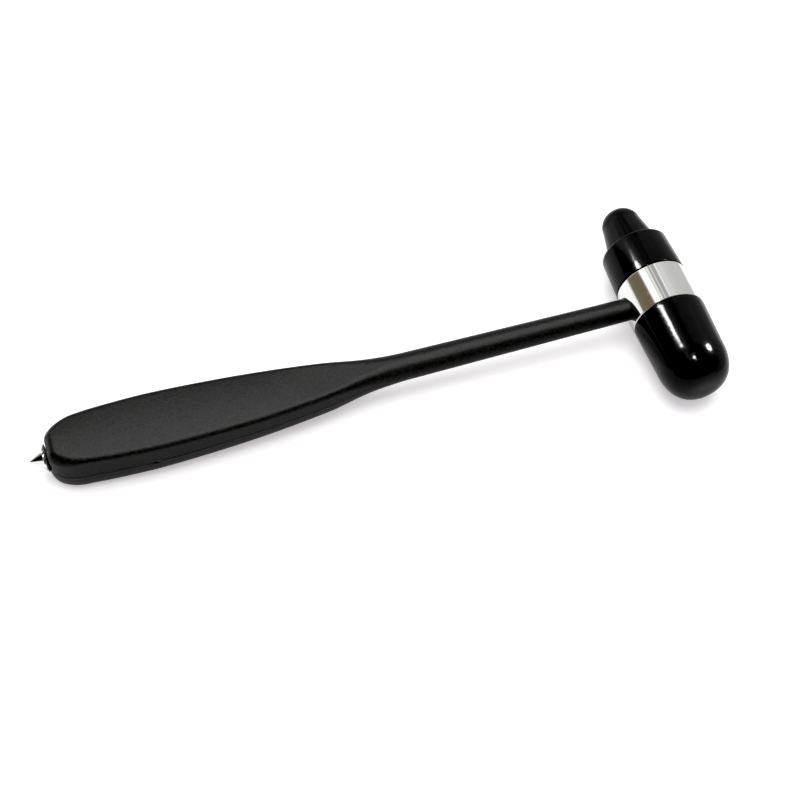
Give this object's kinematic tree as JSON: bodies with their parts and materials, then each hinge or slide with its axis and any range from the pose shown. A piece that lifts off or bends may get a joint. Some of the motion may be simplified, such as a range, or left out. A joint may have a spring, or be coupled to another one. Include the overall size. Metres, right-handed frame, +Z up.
{
  "type": "reflex hammer",
  "caption": "Neurological reflex hammer: chromed head with round-ended and stepped rubber mallets, tapered black paddle handle, and a screw-in metal point at the butt.",
  "frame": {"origin": "middle of the hammer's footprint on the table it lies on", "axes": "+X along the handle from the butt to the head, +Y along the head towards the small stepped mallet, +Z up from the table"},
  "size_m": [0.24, 0.083, 0.0264],
  "materials": {
    "handle_black": "fine satin grain",
    "bright_steel": "turned",
    "head_chrome": "polished, faint turning lines",
    "black_rubber": "glossy",
    "insert_brass": "turned",
    "seal_rubber": "satin",
    "tip_chrome": "polished"
  },
  "bodies": {
    "hammer": {"handle": "handle_black", "core_rod": "bright_steel", "barrel": "head_chrome", "head_core": "bright_steel", "tip_insert": "insert_brass"},
    "seal": {"tip_seal": "seal_rubber"},
    "point": {"pointed_tip": "tip_chrome"},
    "large_cap": {"large_mallet": "black_rubber"},
    "small_cap": {"small_mallet": "black_rubber"}
  },
  "joints": [
    {"name": "tip_travel", "type": "slide", "parent": "hammer", "child": "seal", "axis": [-0.9998, 0, -0.0186], "range_m": [0, 0.0084]},
    {"name": "tip_turn", "type": "hinge", "parent": "seal", "child": "point", "pos_m": [-0.11373, -0.00095, 0.0091], "axis": [-0.9998, 0, -0.0186], "range_deg": [0, 4321]},
    {"name": "large_mallet_pull", "type": "slide", "parent": "hammer", "child": "large_cap", "axis": [0, -1, 0], "range_m": [0, 0.0158]},
    {"name": "small_mallet_pull", "type": "slide", "parent": "hammer", "child": "small_cap", "axis": [0, 1, 0], "range_m": [0, 0.0128]}
  ],
  "couplings": [
    {"joint": "tip_turn", "follows": "tip_travel", "rad_per_m": 8976}
  ]
}
